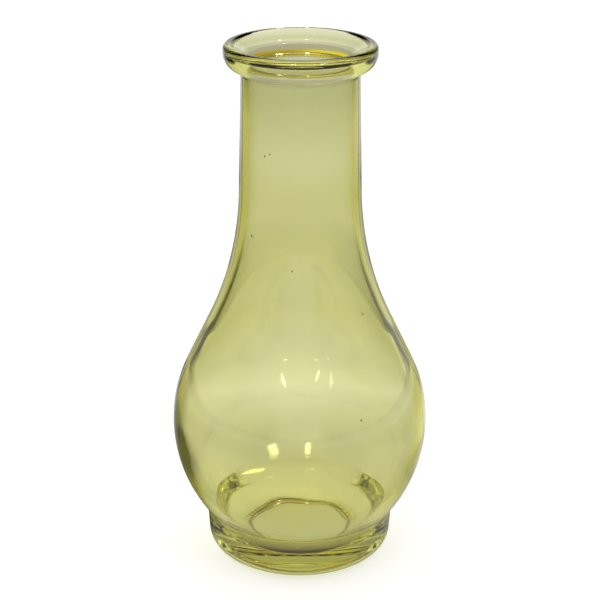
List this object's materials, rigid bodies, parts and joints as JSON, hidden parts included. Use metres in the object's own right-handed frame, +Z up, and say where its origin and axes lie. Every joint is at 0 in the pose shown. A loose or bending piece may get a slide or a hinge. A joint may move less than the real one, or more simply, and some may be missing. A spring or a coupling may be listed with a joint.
{
  "type": "bud vase",
  "caption": "Pear-shaped bottle bud vase in clear yellow-green glass, with a tall straight neck, a dished bead lip and a short drum foot.",
  "frame": {"origin": "on the vase's axis, in the plane of the foot's knurls, which is the surface that it stands on", "axes": "+Z up along the vase's axis to the mouth; the vase is round, so +X and +Y are any two directions across it, and the mould seams of the visual model lie on +X and -X"},
  "size_m": [0.0728, 0.0728, 0.15],
  "materials": {
    "glass": "clear yellow-green, fire-polished"
  },
  "bodies": {
    "root": {"lip": "glass", "neck": "glass", "shoulder": "glass", "bulb_upper": "glass", "bulb_lower": "glass", "foot": "glass", "base": "glass"}
  },
  "joints": []
}
